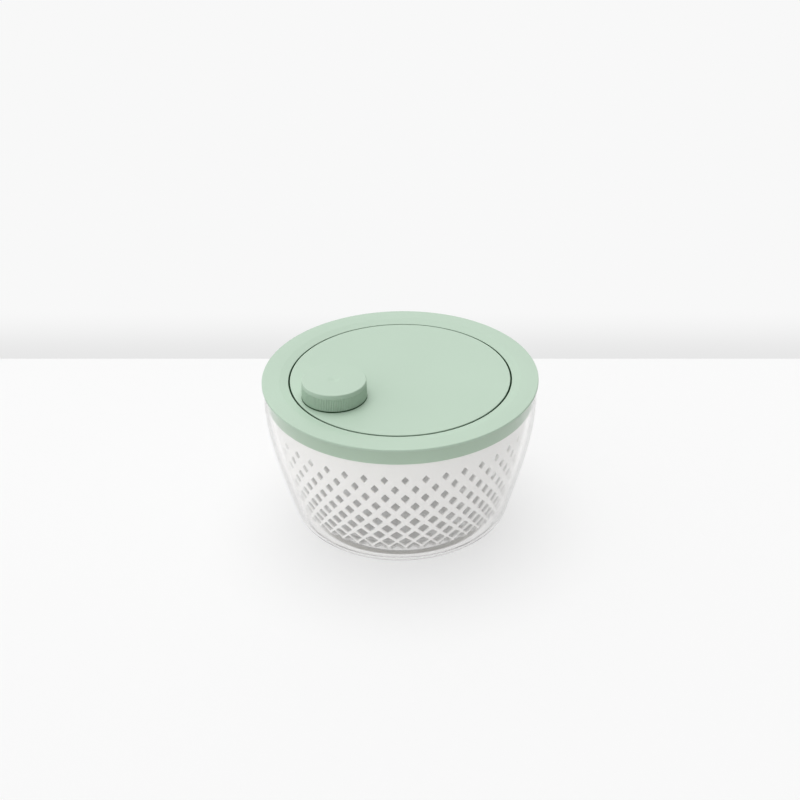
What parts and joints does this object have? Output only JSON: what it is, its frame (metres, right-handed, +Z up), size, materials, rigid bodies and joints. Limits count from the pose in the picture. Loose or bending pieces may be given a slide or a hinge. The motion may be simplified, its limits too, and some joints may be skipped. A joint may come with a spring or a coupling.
{
  "type": "salad spinner",
  "caption": "Round salad spinner: clear bowl, lattice basket and a lid whose inner disc is cranked by an offset knob through a planetary gear.",
  "frame": {"origin": "centre of the face the foot ring stands on, on the spinner's axis", "axes": "+Z up along the spinner's axis, -Y towards the viewer with the knob at the left, +X to the viewer's right"},
  "size_m": [0.26, 0.26, 0.1632],
  "materials": {
    "lid_plastic": "fine satin moulded texture, pale green",
    "clear_plastic": "clear polished",
    "basket_plastic": "semi-matt white moulding",
    "white_plastic": "semi-matt white moulding",
    "natural_plastic": "unpigmented acetal, slightly waxy",
    "grip_rubber": "translucent matt elastomer",
    "steel": "bright zinc or stainless"
  },
  "bodies": {
    "bowl": {"bowl": "clear_plastic", "foot_ring": "grip_rubber", "pivot_post": "natural_plastic"},
    "basket_bush": {"basket_bush": "natural_plastic"},
    "basket": {"basket": "basket_plastic"},
    "lid": {"lid_ring": "lid_plastic", "gear_housing": "white_plastic", "ring_gear": "natural_plastic", "centre_bearing": "natural_plastic", "glide_ring": "natural_plastic", "lid_screw_1": "steel", "lid_screw_2": "steel", "lid_screw_3": "steel", "lid_screw_4": "steel", "ring_gear_screw_1": "steel", "ring_gear_screw_2": "steel", "ring_gear_screw_3": "steel"},
    "crank": {"crank_disc": "lid_plastic", "planet_carrier": "natural_plastic", "planet_pin_1": "steel", "planet_pin_2": "steel", "planet_pin_3": "steel", "carrier_screw_1": "steel", "carrier_screw_2": "steel", "carrier_screw_3": "steel", "knob_spindle": "natural_plastic", "knob_washer": "steel", "knob_screw": "steel"},
    "knob": {"knob_cap": "lid_plastic", "knob_core": "natural_plastic"},
    "planet_1": {"planet_gear_1": "natural_plastic"},
    "planet_2": {"planet_gear_2": "natural_plastic"},
    "planet_3": {"planet_gear_3": "natural_plastic"},
    "drive": {"sun_gear": "natural_plastic", "drive_plate": "white_plastic", "drive_washer": "steel", "drive_screw": "steel"}
  },
  "joints": [
    {"name": "basket_lift", "type": "slide", "parent": "bowl", "child": "basket_bush", "axis": [0, 0, 1], "range_m": [0, 0.14]},
    {"name": "lid_lift", "type": "slide", "parent": "basket_bush", "child": "lid", "axis": [0, 0, 1], "range_m": [0, 0.16]},
    {"name": "basket_spin", "type": "hinge", "parent": "basket_bush", "child": "basket", "pos_m": [0, 0, 0.017], "axis": [0, 0, 1], "continuous": true},
    {"name": "crank_spin", "type": "hinge", "parent": "lid", "child": "crank", "pos_m": [0, 0, 0.145], "axis": [0, 0, 1], "continuous": true},
    {"name": "knob_spin", "type": "hinge", "parent": "crank", "child": "knob", "pos_m": [-0.06104, -0.03259, 0.15], "axis": [0, 0, 1], "continuous": true},
    {"name": "planet_1_spin", "type": "hinge", "parent": "crank", "child": "planet_1", "pos_m": [-0.00119, -0.03598, 0.136], "axis": [0, 0, 1], "continuous": true},
    {"name": "planet_2_spin", "type": "hinge", "parent": "crank", "child": "planet_2", "pos_m": [0.03176, 0.01696, 0.136], "axis": [0, 0, 1], "continuous": true},
    {"name": "planet_3_spin", "type": "hinge", "parent": "crank", "child": "planet_3", "pos_m": [-0.03056, 0.01902, 0.136], "axis": [0, 0, 1], "continuous": true},
    {"name": "drive_spin", "type": "hinge", "parent": "lid", "child": "drive", "pos_m": [0, 0, 0.13], "axis": [0, 0, 1], "continuous": true}
  ],
  "couplings": [
    {"joint": "planet_1_spin", "follows": "crank_spin", "ratio": -3},
    {"joint": "planet_2_spin", "follows": "crank_spin", "ratio": -3},
    {"joint": "planet_3_spin", "follows": "crank_spin", "ratio": -3},
    {"joint": "drive_spin", "follows": "crank_spin", "ratio": 4},
    {"joint": "basket_spin", "follows": "crank_spin", "ratio": 4}
  ]
}
